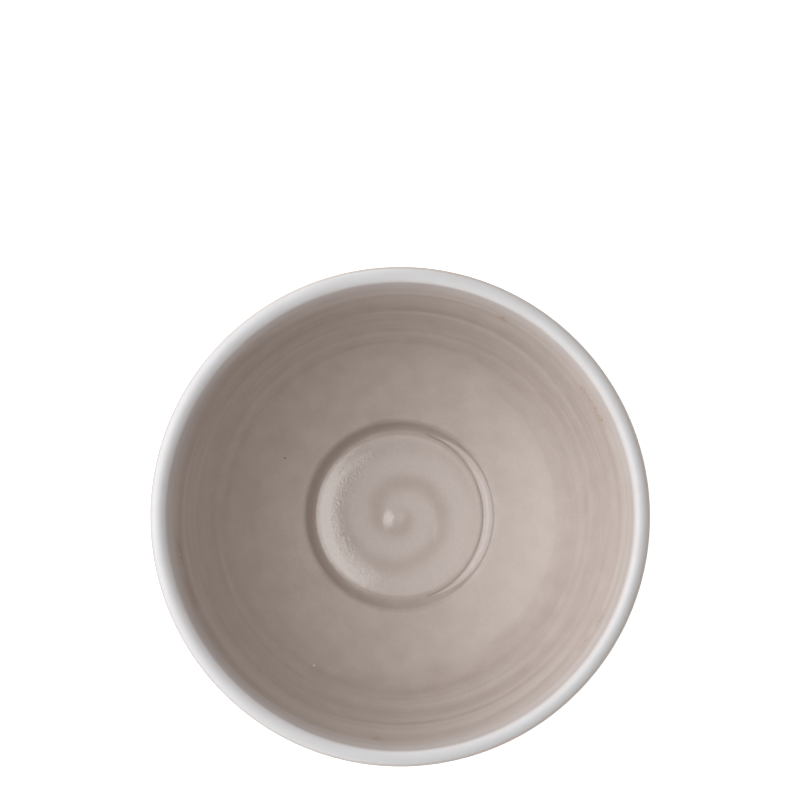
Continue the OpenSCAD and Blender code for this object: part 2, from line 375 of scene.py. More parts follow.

# %% [markdown]
# ## Where the glaze gathers, and painted light
#
# Melted glaze runs off ridges, where it looks pale, and gathers in hollows, where it looks
# deep. So each point of the lining keeps a number that its colour follows. The same number
# also paints light in the well: a paler floor, painted shade on the left of the hollow corner,
# and on the right a painted highlight beyond a thin line of painted shade. It could be painted
# by hand, but the arrays that shape the rings and the well already know where they lie.

# %% Pale, deep and painted light
# The rings' paleness and the groove's depth are glaze; the floor's paleness is painted light, the
# corner's depth painted shade on the left, and the line's depth a thin line of painted shade on the
# right
RING_PALE, FLOOR_PAINTED_LIGHT, GROOVE_DEEP, CORNER_PAINTED_SHADE, LINE_PAINTED_SHADE = 0.3, 0.3, 0.2, 0.34, 0.42
FLOOR_END, FLOOR_FADE = 23.6, 1.4
GROOVE_LOSS, GROOVE_LOSS_START, GROOVE_LOSS_GROWTH = 0.5, 10, 9
CORNER_R, CORNER_HALF, CORNER_TURN = 26.2, 2.3, 0.4
# The pale crescent on the right is a painted highlight, and the line inside it is painted shade
CRESCENT_R, CRESCENT_HALF, CRESCENT_FROM, CRESCENT_POWER = 24.8, 1.2, 0.28, 1.1
CRESCENT_SOFT, HIGHLIGHT_INNER, HIGHLIGHT_OUTER = 0.2, 0.25, 0.35
OUTER_START, OUTER_GROWTH = 24.6, 0.6
LINE_R, LINE_HALF = 24.65, 0.7


def glaze_tone_and_painted_light(r, angle, rings, groove):
    """Rings count as pale and the spiral's groove as deep, less so towards the corner. The
    well's floor is painted paler, as painted light, and the hollow corner gets painted shade,
    most on the left. On the right, where the side was pressed out, a painted highlight lies as
    a pale crescent beyond a thin line of painted shade, both widest straight to the right."""
    # Pale rings are glaze; the paler well floor is painted light.
    tone = RING_PALE * rings + FLOOR_PAINTED_LIGHT * eased((FLOOR_END - r) / FLOOR_FADE)
    loss = GROOVE_LOSS * eased((r - GROOVE_LOSS_START) / GROOVE_LOSS_GROWTH)
    tone = tone - GROOVE_DEEP * groove * (1 - loss)
    # Painted shade: the hollow corner is darkened, most on the left and not at all on the right.
    shaded = (1 - np.cos(angle + CORNER_TURN)) / 2
    tone = tone - CORNER_PAINTED_SHADE * shaded * eased(1 - np.abs(r - CORNER_R) / CORNER_HALF)
    # Painted highlight: a pale crescent on the right of the well's side, with a thin line of
    # painted shade inside it.
    beyond = np.cos(angle) - CRESCENT_FROM
    right = eased(beyond / 0.1)
    half = CRESCENT_HALF * np.clip(beyond / (1 - CRESCENT_FROM), 0, 1) ** CRESCENT_POWER
    inside_it = half + CRESCENT_SOFT - np.abs(r - CRESCENT_R)
    crescent = eased(inside_it / (2 * CRESCENT_SOFT)) * right
    line = eased(1 - np.abs(r - LINE_R + half) / LINE_HALF) * right
    pale = HIGHLIGHT_INNER + HIGHLIGHT_OUTER * eased((r - OUTER_START) / OUTER_GROWTH)
    return tone * (1 - crescent) + pale * crescent - LINE_PAINTED_SHADE * line


# The lining's colour number, with the painted light and painted shade in the well
tone = glaze_tone_and_painted_light(inside_r, inside_angle, finger_rings, groove)
keep_tone_and_painted_light(lining, tone[1:], tone[0].mean())
print("tone from", tone.min().round(2), "to", tone.max().round(2))

# %% [markdown]
# ## The lip
#
# The lip is nearly half a circle in section. It was dipped in white, over the edge of the
# taupe, and its two lower lines are where the colours meet.

# %% Lip
lip_top = round_part((LIP_R, LIP_Z), LIP_CLAY, BAND_IN, BAND_OUT, count=30)
lip_points = np.concatenate([turned(lifted(lip_top, GLAZE_T)),
                             turned(back_to_start(lip_top)[::3])])
lip_band = shell("lip_glaze", lip_points, False)
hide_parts("rim_band")

# %% [markdown]
# ## The outside
#
# Outside, the wall follows the lining at the thickness of the clay down to a trimmed foot.
# The glaze stops just above the table, wiped off with a sponge: its edge wanders, and the
# melted glaze stands there as a small bead.

# %% Outside
WALL_T, FLOOR_T = 4.2, 5.0
FOOT_R, FOOT_W, FOOT_H, FOOT_LEAN = 30.5, 5.0, 8.4, 7
FOOT_ROUND, FOOT_FILLET, UNDER_RISE = 0.7, 1.6, 20
FOOT_BARE = 2.2

slope_end = onward((WELL_TOP_R, WELL_TOP_Z, FLOOR_RISE), -FLOOR_BEND, KNEE_RISE, count=4)[-1:]
knee_end = onward(slope_end[0], -KNEE_BEND, WALL_RISE, count=4)[-1:]


def outside_of(station, thickness):
    """The station across the clay, heading the other way."""
    across = lifted(station, -thickness)[0]
    return across[0], across[1], across[2] - 180


foot_down = FOOT_LEAN - 90
under_down = UNDER_RISE - 180
foot_edge = round_part((FOOT_R - FOOT_ROUND, FOOT_ROUND), FOOT_ROUND, foot_down, -180, count=8)
fillet_z = FOOT_H + FOOT_FILLET * math.cos(math.radians(under_down))
fillet_low = fillet_z - FOOT_FILLET * math.cos(math.radians(foot_down))


def foot_side(z):
    """The station on the foot's leaning outside at a height."""
    drop = (z - foot_edge[0, 1]) * math.tan(math.radians(FOOT_LEAN))
    return foot_edge[0, 0] - drop, z, foot_down


fillet_r = foot_side(fillet_low)[0] - FOOT_FILLET * math.sin(math.radians(foot_down))


def outside_clay(lip_rows, wall_rows, knee_rows, foot_rows):
    """The clay's outer surface from the white line over the lip down to the glaze's edge."""
    lip = round_part((LIP_R, LIP_Z), LIP_CLAY, BAND_OUT, LIP_RISE - 180, lip_rows)
    wall_foot = outside_of(knee_end, WALL_T)
    under = outside_of(slope_end, FLOOR_T)
    fillet = round_part((fillet_r, fillet_z), -FOOT_FILLET, under_down, foot_down, knee_rows)
    foot = sweep(fillet[-1], foot_side(FOOT_BARE), foot_rows)
    return chained(lip, sweep(lip[-1], wall_foot, wall_rows),
                   sweep(wall_foot, under, knee_rows), sweep(under, fillet[0], knee_rows),
                   fillet, foot)


outside = outside_clay(lip_rows=10, wall_rows=90, knee_rows=20, foot_rows=24)


def travel(stations):
    """How far along the chain each station lies: the running sum of the steps between them."""
    steps = np.hypot(*np.diff(stations[:, :2], axis=0).T)
    return np.concatenate([[0], np.cumsum(steps)])[:, None]


OUTER_RING_W, OUTER_RING_DEPTH = 17.0, 0.24
RINGS_START, RINGS_GROW, RINGS_END, RINGS_DIE = 3, 8, 62, 10
TOOL_RING_W, TOOL_SHARE = 4.3, 0.16


def outer_relief(way, angle):
    """Slow rings down the wall, faded at both ends, plus finer ones from the trimming tool.
    Both are sines of the way along the wall, and their start drifts round the bowl."""
    fade = eased((way - RINGS_START) / RINGS_GROW) * eased((RINGS_END - way) / RINGS_DIE)
    drift = 0.3 * np.sin(angle) + 0.2 * np.sin(2 * angle + 1)
    slow = np.sin(2 * np.pi * way / OUTER_RING_W + drift)
    fine = TOOL_SHARE * np.sin(2 * np.pi * way / TOOL_RING_W + 2 * drift + np.sin(way / 5))
    return OUTER_RING_DEPTH / 2 * fade * (slow + fine)


BEAD, BEAD_REACH, EDGE_ROUND, WAVE_REACH = 0.16, 1.6, 0.45, 4


def rounded_edge(way):
    """A share of the coat's thickness that rises from its edge as a quarter circle does."""
    return np.sqrt(1 - np.clip(1 - way / EDGE_ROUND, 0, 1) ** 2)


outer_way = travel(outside)
to_edge = outer_way[-1] - outer_way
bead = BEAD * eased(1 - np.abs(to_edge - BEAD_REACH / 2) / BEAD_REACH)
outer_coat = (GLAZE_T + bead) * rounded_edge(to_edge)
edge_wave = (0.22 * np.sin(2 * spoke + 0.6) + 0.12 * np.sin(5 * spoke + 2)
             + 0.06 * np.sin(11 * spoke))
wander = edge_wave * eased(1 - to_edge / WAVE_REACH)
outer_rings = outer_relief(outer_way, spoke)
outer_air = turned(outside, outer_coat + outer_rings, -wander)
outer_rest = outside_clay(lip_rows=3, wall_rows=10, knee_rows=4, foot_rows=4)
rest_to_edge = travel(outer_rest)[-1] - travel(outer_rest)
outer_rest_wander = edge_wave * eased(1 - rest_to_edge / WAVE_REACH)
outer_clay = turned(back_to_start(outer_rest), 0.0, -back_to_start(outer_rest_wander))
OUTER_PALE = 0.4
outer = shell("outside_glaze", np.concatenate([outer_air, outer_clay]), False)
keep_tone_and_painted_light(outer, OUTER_PALE * outer_rings)
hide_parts("outer_glaze")

# %% [markdown]
# ## The glaze under the base
#
# Inside the foot ring the pot is glazed too. That coat domes up slightly, and it ends on the
# ring's inner side, clear of the kiln shelf.

# %% Base glaze
RECESS_H, RECESS_LEAN, RECESS_FILLET, RECESS_RISE, RECESS_BARE = 6.0, 10, 1.5, 2, 1.9
recess_up = RECESS_LEAN - 270
recess_in = -180 - RECESS_RISE
recess_edge = round_part((FOOT_R - FOOT_W + FOOT_ROUND, FOOT_ROUND), FOOT_ROUND,
                         -180, recess_up, count=8)
recess_z = RECESS_H + RECESS_FILLET * math.cos(math.radians(recess_in))
recess_low = recess_z - RECESS_FILLET * math.cos(math.radians(recess_up))


def recess_side(z):
    """The station on the foot's inner side at a height."""
    lean = (z - recess_edge[-1, 1]) * math.tan(math.radians(RECESS_LEAN))
    return recess_edge[-1, 0] - lean, z, recess_up


recess_r = recess_side(recess_low)[0] - RECESS_FILLET * math.sin(math.radians(recess_up))


def recess_clay(side_rows, dome_rows):
    """The clay under the bowl, from the glaze's edge on the foot's inner side to the middle."""
    corner = round_part((recess_r, recess_z), -RECESS_FILLET, recess_up, recess_in, side_rows)
    side = sweep(recess_side(RECESS_BARE), corner[0], side_rows)
    dome = onward(corner[-1], -corner[-1, 0] / math.sin(math.radians(RECESS_RISE)), -180,
                  dome_rows)
    return chained(side, corner, dome)


BASE_WAVE, BASE_WAVE_REACH = 0.15, 3
RIPPLE = 0.03


def recess_wander(way):
    """The coat's edge strays along the clay three times round, and less with the way from it."""
    return BASE_WAVE * np.sin(3 * spoke) * eased(1 - way / BASE_WAVE_REACH)


recess = recess_clay(side_rows=12, dome_rows=30)
recess_way = travel(recess)
base_coat = GLAZE_T * rounded_edge(recess_way)
ripple = RIPPLE * np.sin(recess_way * 1.4) * eased(recess_way / 4)
base_air = turned(recess, base_coat + ripple, recess_wander(recess_way))
base_rest = recess_clay(side_rows=12, dome_rows=6)
base_clay = turned(back_to_start(base_rest), 0.0,
                   back_to_start(recess_wander(travel(base_rest))))
base = shell("base_glaze_coat", np.concatenate([base_clay, base_air[1:]]), True)
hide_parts("base_glaze")

# %% [markdown]
# ## The clay body
#
# The fired clay shows only where the foot was wiped bare, but the whole pot is there under
# the glaze. The trimming tool left fine grooves round the bare ring.

# %% Clay body
foot_wall = sweep(foot_side(FOOT_BARE), foot_edge[0], count=14)
foot_flat = sweep(foot_edge[-1], recess_edge[0], count=16)
recess_wall = sweep(recess_edge[-1], recess_side(RECESS_BARE), count=12)
foot_ring = chained(foot_wall, foot_edge, foot_flat, recess_edge, recess_wall)
lip_clay = round_part((LIP_R, LIP_Z), LIP_CLAY, BAND_IN, BAND_OUT, count=6)
clay_inside = inside_clay(floor_rows=8, side_rows=7, slope_rows=6, wall_rows=12)
clay_outside = outside_clay(lip_rows=3, wall_rows=16, knee_rows=6, foot_rows=5)
clay_chain = chained(clay_inside, lip_clay, clay_outside, foot_ring,
                     recess_clay(side_rows=4, dome_rows=6))

TRIM_W, TRIM_DEPTH = 0.9, 0.03
foot_start = len(clay_inside) + len(lip_clay) + len(clay_outside) - 2
on_foot = np.zeros((len(clay_chain), 1))
on_foot[foot_start:foot_start + len(foot_wall) - 2] = 1
groove_turns = travel(clay_chain) / TRIM_W
trimming = -TRIM_DEPTH * on_foot * (1 + np.sin(2 * np.pi * groove_turns + 0.4 * np.sin(spoke)))
in_well = np.arange(len(clay_chain))[:, None] < len(clay_inside)
pressed = well_flare(clay_chain[:, :1], spoke) * in_well
pot = shell("stoneware_body", turned(clay_chain, trimming + pressed), True)
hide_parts("clay_body")

# %% [markdown]
# ## A way to write materials
#
# Each finish is a small graph of nodes. One function adds a node with its settings and links,
# and one turns a colour as a screen shows it into the linear values that light is counted in.
# Two more start a material and give its shader what the graph worked out.

# %% Material helpers
def linear(code):
    """A six-digit colour code as linear red, green, blue and full alpha."""
    parts = [int(code[i:i + 2], 16) / 255 for i in (1, 3, 5)]
    return [p / 12.92 if p <= 0.04045 else ((p + 0.055) / 1.055) ** 2.4 for p in parts] + [1.0]


def add(tree, kind, *values, out=None, **named):
    """Adds a node and gives back its first output in use, or the output that out names.

    Values go to its inputs in use, in their order. A name is a setting where the node has one
    of that name, and otherwise an input, with underscores for spaces. A socket among the
    values is linked, and anything else is set."""
    node = tree.nodes.new("ShaderNode" + kind)
    for key in [key for key in named if hasattr(node, key)]:
        setattr(node, key, named.pop(key))
    inputs = [socket for socket in node.inputs if socket.enabled][:len(values)]
    inputs += [node.inputs[key.replace("_", " ")] for key in named]
    for socket, value in zip(inputs, [*values, *named.values()]):
        if isinstance(value, bpy.types.NodeSocket):
            tree.links.new(value, socket)
        else:
            socket.default_value = value
    in_use = [socket for socket in node.outputs if socket.enabled]
    return node.outputs[out] if out else in_use[0]


# Settings that many nodes share: sums, a step with a soft start and end, and mixed colours
TIMES, PLUS = {"operation": "MULTIPLY"}, {"operation": "ADD"}
TIMES_PLUS, LARGER = {"operation": "MULTIPLY_ADD"}, {"operation": "MAXIMUM"}
SOFT, RGBA = {"interpolation_type": "SMOOTHSTEP"}, {"data_type": "RGBA"}
# How strongly the finer lumps of a noise count beside its main ones
LUMPY = 0.55


def new_material(name):
    """A material with a node tree that holds only its output and a principled shader."""
    material = bpy.data.materials.new(name)
    material.use_nodes = True
    tree = material.node_tree
    return material, tree, tree.nodes["Principled BSDF"]


def dress(tree, shader, colour, height_mm, roughness):
    """Gives the shader a colour, a skin whose height is in millimetres, and a roughness."""
    height = add(tree, "Math", height_mm, MM, **TIMES)
    skin = add(tree, "Bump", Height=height, Strength=1.0, Distance=1.0)
    tree.links.new(colour, shader.inputs["Base Color"])
    tree.links.new(skin, shader.inputs["Normal"])
    if isinstance(roughness, bpy.types.NodeSocket):
        tree.links.new(roughness, shader.inputs["Roughness"])
    else:
        shader.inputs["Roughness"].default_value = roughness


# %% [markdown]
# ## Where on the bowl
#
# The patterns need to know where they are: in millimetres, how far from the axis, and how
# high. Brush and finger marks run round the bowl, so their noise is drawn out round it: its
# coordinates are the direction from the axis, which changes slowly, and the way up the
# wall, which changes fast. An angle would do as well, but it jumps where it comes full circle.

# %% Places
def places(tree):
    """Millimetre coordinates, and the radius, height and drawn-out coordinates from them."""
    at = add(tree, "TexCoord", out="Object")
    mm = add(tree, "VectorMath", at, 1 / MM, operation="SCALE")
    split = add(tree, "SeparateXYZ", mm).node.outputs
    flat = add(tree, "CombineXYZ", X=split["X"], Y=split["Y"])
    radius = add(tree, "VectorMath", flat, operation="LENGTH")
    way = add(tree, "VectorMath", flat, operation="NORMALIZE")
    lift = add(tree, "CombineXYZ", Z=add(tree, "Math", radius, split["Z"], **PLUS))
    return {"mm": mm, "x": split["X"], "flat": flat, "z": split["Z"], "radius": radius,
            "round": way, "lift": lift}


def drawn_out(tree, at, round_reach, climb_mm, detail=1.0):
    """Streaks that run round the bowl: noise whose lumps are long round it and narrow up it.

    Its coordinates are the direction times a reach plus the climb over a width in mm."""
    along = add(tree, "VectorMath", at["round"], round_reach, operation="SCALE")
    up = add(tree, "VectorMath", at["lift"], 1 / climb_mm, operation="SCALE")
    both = add(tree, "VectorMath", along, up, **PLUS)
    return add(tree, "TexNoise", Vector=both, Scale=1.0, Detail=detail, Roughness=0.6)


# %% [markdown]
# ## White into taupe
#
# Where the white lip meets the taupe the two melted into each other over about a millimetre.
# Three coats show that line, so all three read it from the same sum on height and radius, and
# a little noise makes it wander. White spattered and ran down inside, so the top of the lining
# also lies under a thin veil of it, stronger on the left. That veil is partly painted light,
# which makes the upper wall paler.

# %% White share
WHITE = linear("#d7d7da")
TAUPE = linear("#cbc0ba")
TAUPE_DEEP = linear("#c1b5ae")
TAUPE_PALE = linear("#dcd3cf")
# Deep taupe for gathered glaze, also used for painted shade in the well
TAUPE_POOLED_AND_SHADE = linear("#a4978f")


# The white's line inside, counted down from the lip's top, and the size of its lumps
LINE_LOW, LINE_HIGH, LINE_TILT = 2.4, 0.2, -0.006
LINE_LUMP_MM, LINE_WANDER_MM = 4.0, 0.6
# Its line outside, as a radius, and the veil, partly painted light, that hangs down inside
WHITE_EDGE_R, WHITE_EDGE_SOFT, WHITE_EDGE_TILT, WHITE_EDGE_WANDER = 69.4, 0.3, 0.0034, 0.32
VEIL_AND_LIGHT_LOW, VEIL_AND_LIGHT_HIGH, VEIL_AND_LIGHT_SHARE, VEIL_AND_LIGHT_TILT = 22, 3, 0.42, -0.003


def white_share(tree, at, veiled_and_lit=False):
    """How white the glaze is: a soft step in height inside the bowl, times a soft step back in
    radius on the lip's outer side. Both are shifted by noise and a little by side.

    On the lining a thin veil of white, partly painted light on the upper wall, reaches farther
    down, more on the left."""
    noise = add(tree, "TexNoise", at["mm"], 1 / LINE_LUMP_MM, 3.0, LUMPY)
    wander = add(tree, "Math", noise, LINE_WANDER_MM, -LINE_WANDER_MM / 2, **TIMES_PLUS)
    past_top = add(tree, "MapRange", at["radius"], LIP_R, LIP_R + 0.6, 0.0, 3.0, **SOFT)
    level = add(tree, "Math", at["x"], LINE_TILT, at["z"], **TIMES_PLUS)
    for shift in (past_top, wander):
        level = add(tree, "Math", level, shift, **PLUS)
    within = add(tree, "MapRange", level, BOWL_H - LINE_LOW, BOWL_H - LINE_HIGH, **SOFT)
    reach = add(tree, "Math", at["x"], WHITE_EDGE_TILT, at["radius"], **TIMES_PLUS)
    reach = add(tree, "Math", wander, WHITE_EDGE_WANDER, reach, **TIMES_PLUS)
    without = add(tree, "MapRange", reach, WHITE_EDGE_R - WHITE_EDGE_SOFT,
                  WHITE_EDGE_R + WHITE_EDGE_SOFT, 1.0, 0.0, **SOFT)
    share = add(tree, "Math", within, without, **TIMES)
    # The veil is partly painted light: it makes the upper wall paler, more on the left.
    if veiled_and_lit:
        thin = add(tree, "Math", at["x"], VEIL_AND_LIGHT_TILT, VEIL_AND_LIGHT_SHARE, **TIMES_PLUS)
        veil = add(tree, "MapRange", at["z"], BOWL_H - VEIL_AND_LIGHT_LOW, BOWL_H - VEIL_AND_LIGHT_HIGH, **SOFT)
        share = add(tree, "Math", add(tree, "Math", veil, thin, **TIMES), share, **LARGER)
    return share


# %% [markdown]
# ## Specks and marks
#
# Stoneware clay holds grains of iron that melt through the glaze as rusty specks. Here they lie
# in a few places close under the lip. They could be separate dots in the mesh, but they are
# flush with the glass, so they are colour only. A pinhole and a grain of white lie alone.

# %% Specks and marks
IRON = linear("#a06f3c")
IRON_SHARE, IRON_HAZE, IRON_CELL_MM, IRON_LUMP_MM = 0.85, 0.16, 0.9, 1.6
# Middle in millimetres from the axis, reach across, and strength of each cluster of specks
SPECK_SPOTS = [(53.0, 33.0, 6.5, 1.0), (56.0, 27.5, 5.0, 1.0), (-61.0, -10.0, 5.5, 1.0),
               (-59.0, -21.0, 7.0, 1.0), (56.0, -28.8, 3.5, 0.8), (52.0, -35.6, 3.5, 0.7),
               (-6.4, -63.0, 2.5, 0.8), (28.9, 56.1, 2.5, 0.8)]
# The band they keep to: each edge's radii, and the share at both
SPECK_BAND = [(61.9, 62.4, 0.0, 1.0), (62.9, 63.5, 1.0, 0.0)]
# Middle, radius and colour of the pinhole and the grain
MARKS = [(-32.5, 16.3, 0.38, "#8a7563"), (-24.3, -42.2, 0.45, "#efe9e4")]


def spot_share(tree, at, x, y, inner, outer, strength=1.0):
    """A soft disc about a point, seen from above: its strength inside, nought outside."""
    gap = add(tree, "VectorMath", at["flat"], (x, y, 0.0), operation="DISTANCE")
    return add(tree, "MapRange", gap, inner, outer, strength, 0.0, **SOFT)


def speck_share(tree, at):
    """Round cells of a Voronoi pattern in a faint haze, both kept where a spot's soft circle
    and a narrow band of radius allow them."""
    share = 0.0
    for x, y, reach, strength in SPECK_SPOTS:
        spot = spot_share(tree, at, x, y, reach * 0.3, reach, strength)
        share = add(tree, "Math", share, spot, **LARGER)
    cells = add(tree, "TexVoronoi", feature="F1", Vector=at["mm"], Scale=1 / IRON_CELL_MM)
    noise = add(tree, "TexNoise", at["mm"], 1 / IRON_LUMP_MM, 3.0, LUMPY)
    dots = add(tree, "MapRange", cells, 0.25, 0.5, 1.0, 0.0, **SOFT)
    some = add(tree, "MapRange", noise, 0.38, 0.54, **SOFT)
    for edge_of_band in SPECK_BAND:
        edge = add(tree, "MapRange", at["radius"], *edge_of_band, **SOFT)
        share = add(tree, "Math", share, edge, **TIMES)
    return add(tree, "Math", share, add(tree, "Math", dots, some, IRON_HAZE, **TIMES_PLUS), **TIMES)


def marked(tree, at, colour):
    """The colour with the iron specks and the two lone marks on it."""
    specks = add(tree, "Math", speck_share(tree, at), IRON_SHARE, **TIMES)
    colour = add(tree, "Mix", specks, colour, IRON, **RGBA)
    for x, y, size, tone in MARKS:
        mark = spot_share(tree, at, x, y, size * 0.4, size)
        colour = add(tree, "Mix", mark, colour, linear(tone), **RGBA)
    return colour


# %% [markdown]
# ## Taupe glaze
#
# This is a stoneware glaze: a clay-coloured glass a few tenths of a millimetre thick, dipped
# on and fired until it ran smooth. It has a satin shine, with the index of glass, near 1.5, and
# is wet only in the well, where it gathered. It is faintly cloudy, its colour gathers in streaks
# round the wall, and its skin is like orange peel from bubbles that closed late. Colour
# noise alone would look painted, so the same streaks also lift the skin by a few hundredths
# of a millimetre.

# %% Taupe dipped glaze
GLASS_IOR = 1.5
# Lump sizes in millimetres: clouds, broad and fine streaks, hair lines, grain and orange peel
CLOUD_MM, BROAD_MM, FINE_MM, HAIR_MM, GRAIN_MM, PEEL_MM = 6.0, 7.0, 2.2, 0.8, 0.7, 0.65
STREAK_RISE_MM, LINING_PEEL, OUTER_PEEL = 0.05, 0.028, 0.02
SATIN = (0.38, 0.46)
WET, WET_R = 0.36, (26.0, 28.5)
# Heights between which the streaks of the wall and the hair lines under the lip come in
WALL_Z, HAIR_Z = (16.0, 40.0), (38.0, 58.0)
# The arc of coarser peel: a place, where its edge starts and ends, and the share at both
COARSE_ARC = [("radius", 15.2, 16.8, 0.0, 1.8), ("radius", 18.4, 20.0, 1.0, 0.0),
              ("x", -13.0, -6.0, 1.0, 0.0)]


def taupe_colour(tree, at, relief, fine, on_wall):
    """Cloudy taupe, deeper where it pooled and paler on ridges; on the lining, painted shade and a
    painted highlight in the well come in the same way. The wall has broad and fine streaks, and
    hair lines under the lip. Each layer is a soft step of a pattern."""
    cloudy = add(tree, "TexNoise", at["mm"], 1 / CLOUD_MM, 5.0, LUMPY)
    cloudy = add(tree, "MapRange", cloudy, 0.2, 0.8, **SOFT)
    colour = add(tree, "Mix", cloudy, TAUPE_DEEP, TAUPE, **RGBA)
    broad, hair = drawn_out(tree, at, 0.6, BROAD_MM), drawn_out(tree, at, 0.5, HAIR_MM)
    grain = add(tree, "TexNoise", at["mm"], 1 / GRAIN_MM, 2.0, LUMPY)
    under_lip = add(tree, "MapRange", at["z"], *HAIR_Z, **SOFT)
    # On the lining the relief number also carries painted light and painted shade, which the first
    # two layers paint
    # Pattern, where its step starts and ends, the layer's share at both, its place and colour
    layers = [(relief, -0.3, 0.0, 0.9, 0.0, 1.0, TAUPE_POOLED_AND_SHADE),
              (relief, 0.03, 0.4, 0.0, 1.0, 1.0, TAUPE_PALE),
              (broad, 0.46, 0.66, 0.0, 0.42, on_wall, TAUPE_PALE),
              (fine, 0.54, 0.7, 0.0, 0.14, on_wall, TAUPE_PALE),
              (fine, 0.3, 0.46, 0.17, 0.0, on_wall, TAUPE_POOLED_AND_SHADE),
              (hair, 0.32, 0.44, 0.13, 0.0, under_lip, TAUPE_POOLED_AND_SHADE),
              (grain, 0.4, 0.62, 0.0, 0.08, 1.0, TAUPE_POOLED_AND_SHADE)]
    for pattern, low, high, start, end, place, tone in layers:
        share = add(tree, "MapRange", pattern, low, high, start, end, **SOFT)
        share = add(tree, "Math", share, place, **TIMES)
        colour = add(tree, "Mix", share, colour, tone, **RGBA)
    return colour


def coarser(tree, at, peel):
    """The peel's height, up to 2.8 times as much in a short arc left of the spiral."""
    more = 1.0
    for place, *edge_of_arc in COARSE_ARC:
        edge = add(tree, "MapRange", at[place], *edge_of_arc, **SOFT)
        more = add(tree, "Math", more, edge, **TIMES)
    return add(tree, "Math", more, peel, peel, **TIMES_PLUS)


def taupe_glaze(name, peel, inner=False):
    """The taupe glaze, with a height of orange peel in millimetres. The lining has more: the
    veil of white, the marks, coarser peel left of the spiral, and the wet shine of the well,
    where the glaze gathered and melted longest."""
    material, tree, shader = new_material(name)
    at = places(tree)
    relief = add(tree, "Attribute", attribute_name="relief", out="Fac")
    fine = drawn_out(tree, at, 0.8, FINE_MM)
    on_wall = add(tree, "MapRange", at["z"], *WALL_Z, **SOFT)
    colour = taupe_colour(tree, at, relief, fine, on_wall)
    noise = add(tree, "TexNoise", at["mm"], 1 / CLOUD_MM, 3.0, LUMPY)
    rough = add(tree, "MapRange", noise, 0.35, 0.65, *SATIN, **SOFT)
    if inner:
        colour = marked(tree, at, colour)
        peel = coarser(tree, at, peel)
        smooth = add(tree, "MapRange", relief, -0.25, -0.1, **SOFT)
        wet = add(tree, "MapRange", at["radius"], *WET_R, -WET, 0.0, **SOFT)
        rough = add(tree, "Math", wet, smooth, rough, **TIMES_PLUS)
    colour = add(tree, "Mix", white_share(tree, at, inner), colour, WHITE, **RGBA)
    skin = add(tree, "TexNoise", at["mm"], 1 / PEEL_MM, 1.0, LUMPY)
    lines = add(tree, "Math", add(tree, "Math", fine, on_wall, **TIMES), STREAK_RISE_MM, **TIMES)
    height = add(tree, "Math", skin, peel, lines, **TIMES_PLUS)
    dress(tree, shader, colour, height, rough)
    shader.inputs["IOR"].default_value = GLASS_IOR
    return material


lining.data.materials.append(
    taupe_glaze("taupe_dipped_glaze_lining", LINING_PEEL, inner=True))
outer.data.materials.append(taupe_glaze("taupe_dipped_glaze_outside", OUTER_PEEL))
base.data.materials.append(taupe_glaze("taupe_dipped_glaze_base", OUTER_PEEL))
print("taupe glazes:", lining.active_material.name, outer.active_material.name)

# %% [markdown]
# ## White lip glaze
#
# The lip was dipped in an opaque tin-white glaze. It is a satin glass like the taupe, with soft
# waves for a skin, and the taupe under it shows through towards its two edges.

# %% White dipped glaze
WHITE_SHADE = linear("#d5d4d5")
WHITE_LUMP_MM, WHITE_PEEL_MM, WHITE_PEEL, WHITE_ROUGH = 7.0, 2.5, 0.02, 0.48


def white_glaze(name):
    """The white glaze in two close tints, with soft waves in its skin."""
    material, tree, shader = new_material(name)
    at = places(tree)
    noise = add(tree, "TexNoise", at["mm"], 1 / WHITE_LUMP_MM, 3.0, LUMPY)
    shade = add(tree, "MapRange", noise, 0.35, 0.7, **SOFT)
    tint = add(tree, "Mix", shade, WHITE, WHITE_SHADE, **RGBA)
    colour = add(tree, "Mix", white_share(tree, at), TAUPE, tint, **RGBA)
    waves = add(tree, "TexNoise", at["mm"], 1 / WHITE_PEEL_MM, 2.0, LUMPY)
    dress(tree, shader, colour, add(tree, "Math", waves, WHITE_PEEL, **TIMES), WHITE_ROUGH)
    shader.inputs["IOR"].default_value = GLASS_IOR
    return material


lip_band.data.materials.append(white_glaze("white_dipped_glaze"))

# %% [markdown]
# ## Bare stoneware
#
# Fired stoneware without glaze is dense and matt, like a fine unpolished stone. It is buff,
# with sand-sized darker grains, and the trimming tool's marks run round it. Real grains are
# finer still, so these are drawn as coarse as they need to be to show.

# %% Bare fired stoneware
BUFF, BUFF_PALE, SAND = linear("#d9cdbb"), linear("#e6dccd"), linear("#9c8468")
BUFF_LUMP_MM, SAND_CELL_MM, SAND_SHARE, GRIT_MM, TOOL_MM = 3.0, 0.9, 0.45, 0.5, 0.35
CLAY_RISE, CLAY_ROUGH = 0.03, 0.82


def bare_stoneware(name):
    """Matt buff clay with fine grains and faint turning marks."""
    material, tree, shader = new_material(name)
    at = places(tree)
    noise = add(tree, "TexNoise", at["mm"], 1 / BUFF_LUMP_MM, 3.0, LUMPY)
    colour = add(tree, "Mix", noise, BUFF, BUFF_PALE, **RGBA)
    cells = add(tree, "TexVoronoi", feature="F1", Vector=at["mm"], Scale=1 / SAND_CELL_MM)
    sand = add(tree, "MapRange", cells, 0.1, 0.28, SAND_SHARE, 0.0, **SOFT)
    colour = add(tree, "Mix", sand, colour, SAND, **RGBA)
    grit = add(tree, "TexNoise", at["mm"], 1 / GRIT_MM, 3.0, LUMPY)
    lines = drawn_out(tree, at, 1.2, TOOL_MM, detail=2.0)
    rise = add(tree, "Math", add(tree, "Math", grit, lines, **PLUS), CLAY_RISE, **TIMES)
    dress(tree, shader, colour, rise, CLAY_ROUGH)
    return material


pot.data.materials.append(bare_stoneware("bare_fired_stoneware"))

